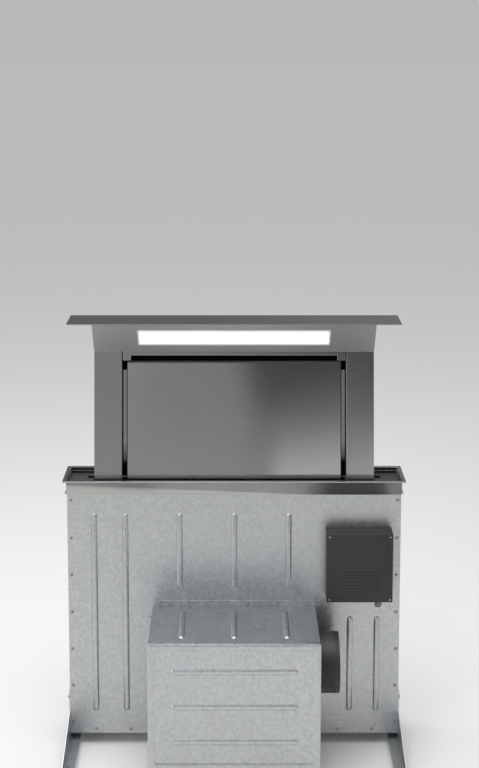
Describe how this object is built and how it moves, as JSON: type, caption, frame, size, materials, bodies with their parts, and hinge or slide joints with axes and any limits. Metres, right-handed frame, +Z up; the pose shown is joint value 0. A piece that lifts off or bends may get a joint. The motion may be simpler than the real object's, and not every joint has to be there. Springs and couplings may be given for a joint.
{
  "type": "downdraft vent",
  "caption": "Steel worktop vent: a tower with slanted lit head, leaning front panel and suction slots rises from a frame over a housing with a blower.",
  "frame": {"origin": "on the floor, under the middle of the object's box, with the tower raised", "axes": "+Z up, +X to the right of someone facing the hood, -Y towards that person"},
  "size_m": [0.88, 0.3774, 1.1207],
  "materials": {
    "brushed_steel": "brushed stainless steel, fine horizontal grain",
    "panel_steel": "brushed stainless steel, fine horizontal grain",
    "galvanised": "zinc-coated sheet, faint spangle",
    "dark_steel": "black painted steel",
    "machined_steel": "ground and rolled steel",
    "aluminium": "satin aluminium",
    "black_plastic": "moulded, fine texture",
    "nylon": "moulded nylon",
    "rubber": "matt rubber",
    "grey_plastic": "moulded nylon",
    "diffuser": "opal diffuser, lit",
    "led_board": "white solder mask"
  },
  "bodies": {
    "housing": {"worktop_frame": "brushed_steel", "clamp_bracket_left": "galvanised", "clamp_bracket_right": "galvanised", "housing_front": "galvanised", "housing_rear": "galvanised", "housing_left": "galvanised", "housing_right": "galvanised", "housing_floor": "galvanised", "fan_scroll": "galvanised", "scroll_inlet_plate": "galvanised", "blower_box": "galvanised", "blower_cover": "galvanised", "support_leg_left": "galvanised", "support_leg_right": "galvanised", "screw_bearing_upper_left": "dark_steel", "screw_bearing_upper_right": "dark_steel", "screw_bearing_lower_left": "dark_steel", "screw_bearing_lower_right": "dark_steel", "lift_gearmotor": "dark_steel", "fan_motor": "dark_steel", "guide_rail_left": "aluminium", "guide_rail_right": "aluminium", "limit_switch_upper": "black_plastic", "limit_switch_lower": "black_plastic", "outlet_collar": "black_plastic", "electronics_box": "black_plastic", "electronics_cover": "black_plastic", "guide_block_left": "nylon", "guide_block_right": "nylon", "frame_seal": "rubber", "timing_belt": "rubber", "foot_front_left": "rubber", "foot_front_right": "rubber", "foot_rear_left": "rubber", "foot_rear_right": "rubber", "cable_gland": "grey_plastic"},
    "tower": {"lid": "brushed_steel", "head_shell": "brushed_steel", "led_bezel": "aluminium", "led_diffuser": "diffuser", "led_board": "led_board", "column_left": "brushed_steel", "column_right": "brushed_steel", "slot_strip_left": "brushed_steel", "slot_strip_right": "brushed_steel", "grease_filter_left": "aluminium", "grease_filter_right": "aluminium", "top_rail": "brushed_steel", "tower_rear": "brushed_steel", "crossmember": "galvanised", "drive_nut_left": "nylon", "drive_nut_right": "nylon", "slider_left": "nylon", "slider_right": "nylon"},
    "lead_screw_left": {"lead_screw_left": "machined_steel"},
    "lead_screw_right": {"lead_screw_right": "machined_steel"},
    "impeller": {"impeller": "black_plastic"},
    "front_panel": {"front_panel": "panel_steel"},
    "flap_front": {"flap_front": "black_plastic"},
    "flap_rear": {"flap_rear": "black_plastic"}
  },
  "joints": [
    {"name": "tower_lift", "type": "slide", "parent": "housing", "child": "tower", "axis": [0, 0, 1], "range_m": [-0.4084, 0]},
    {"name": "screw_left_turn", "type": "hinge", "parent": "housing", "child": "lead_screw_left", "pos_m": [-0.385, 0.13175, 0.4093], "axis": [0, 0, 1], "continuous": true},
    {"name": "screw_right_turn", "type": "hinge", "parent": "housing", "child": "lead_screw_right", "pos_m": [0.385, 0.13175, 0.4093], "axis": [0, 0, 1], "continuous": true},
    {"name": "impeller_turn", "type": "hinge", "parent": "housing", "child": "impeller", "pos_m": [-0.055, -0.06175, 0.2043], "axis": [0, 1, 0], "continuous": true},
    {"name": "panel_tilt", "type": "hinge", "parent": "tower", "child": "front_panel", "pos_m": [0, 0.10675, 0.7093], "axis": [1, 0, 0], "range_deg": [0, 65]},
    {"name": "flap_front_swing", "type": "hinge", "parent": "housing", "child": "flap_front", "pos_m": [0.2223, -0.06575, 0.2808], "axis": [0, 0, 1], "range_deg": [0, 80], "stiffness_Nm_per_rad": 0.01},
    {"name": "flap_rear_swing", "type": "hinge", "parent": "housing", "child": "flap_rear", "pos_m": [0.2223, -0.05775, 0.2808], "axis": [0, 0, -1], "range_deg": [0, 80], "stiffness_Nm_per_rad": 0.01}
  ],
  "couplings": [
    {"joint": "screw_left_turn", "follows": "tower_lift", "rad_per_m": -628.32},
    {"joint": "screw_right_turn", "follows": "tower_lift", "rad_per_m": -628.32}
  ]
}
